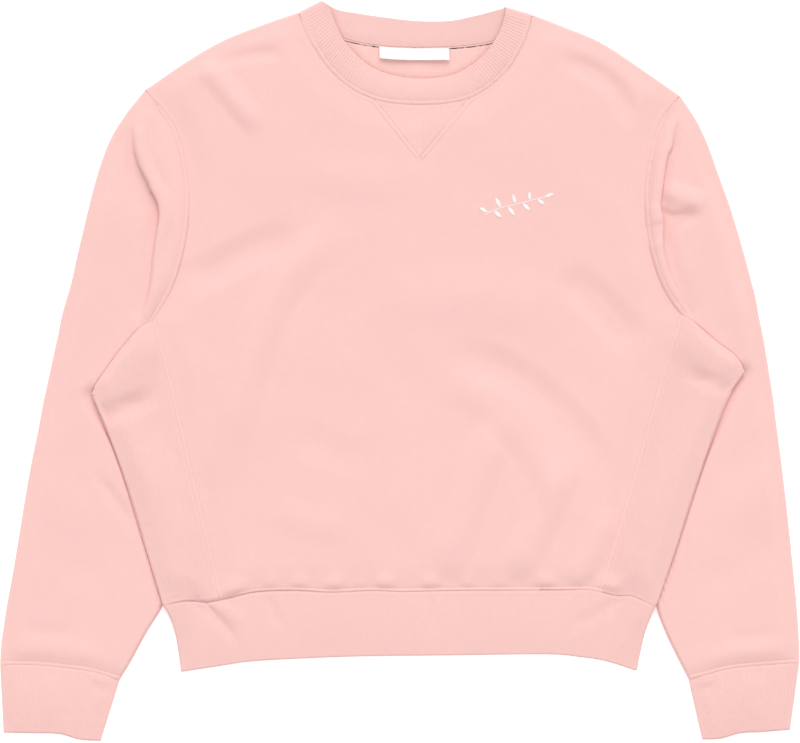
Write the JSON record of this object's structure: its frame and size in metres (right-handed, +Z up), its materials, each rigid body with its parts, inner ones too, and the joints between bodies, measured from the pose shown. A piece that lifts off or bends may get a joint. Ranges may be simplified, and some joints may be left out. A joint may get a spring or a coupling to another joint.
{
  "type": "crewneck sweatshirt",
  "caption": "Cropped crewneck sweatshirt laid flat, front up, with set-in sleeves, ribbed side panels, collar, cuffs and hem band and a ribbed triangle at the neck.",
  "frame": {"origin": "middle of the whole outline, on the surface that the garment lies on", "axes": "+X across the chest towards the wearer's left sleeve, +Y from the hem to the neck, +Z up from the surface"},
  "size_m": [0.735, 0.6812, 0.0142],
  "materials": {
    "loopback_pink": "pale pink brushed cotton jersey, matt",
    "loopback_pink_inside": "looped inside of the same jersey, matt",
    "rib_pink": "pale pink cotton rib knit, matt",
    "label_white": "plain white woven label"
  },
  "bodies": {
    "root": {"front_panel": "loopback_pink", "back_panel": "loopback_pink_inside", "side_panel_right": "rib_pink", "side_panel_left": "rib_pink", "sleeve_right": "loopback_pink", "sleeve_left": "loopback_pink", "cuff_right": "rib_pink", "cuff_left": "rib_pink", "hem_band": "rib_pink", "collar_band": "rib_pink", "neck_insert": "rib_pink", "neck_label": "label_white"}
  },
  "joints": []
}
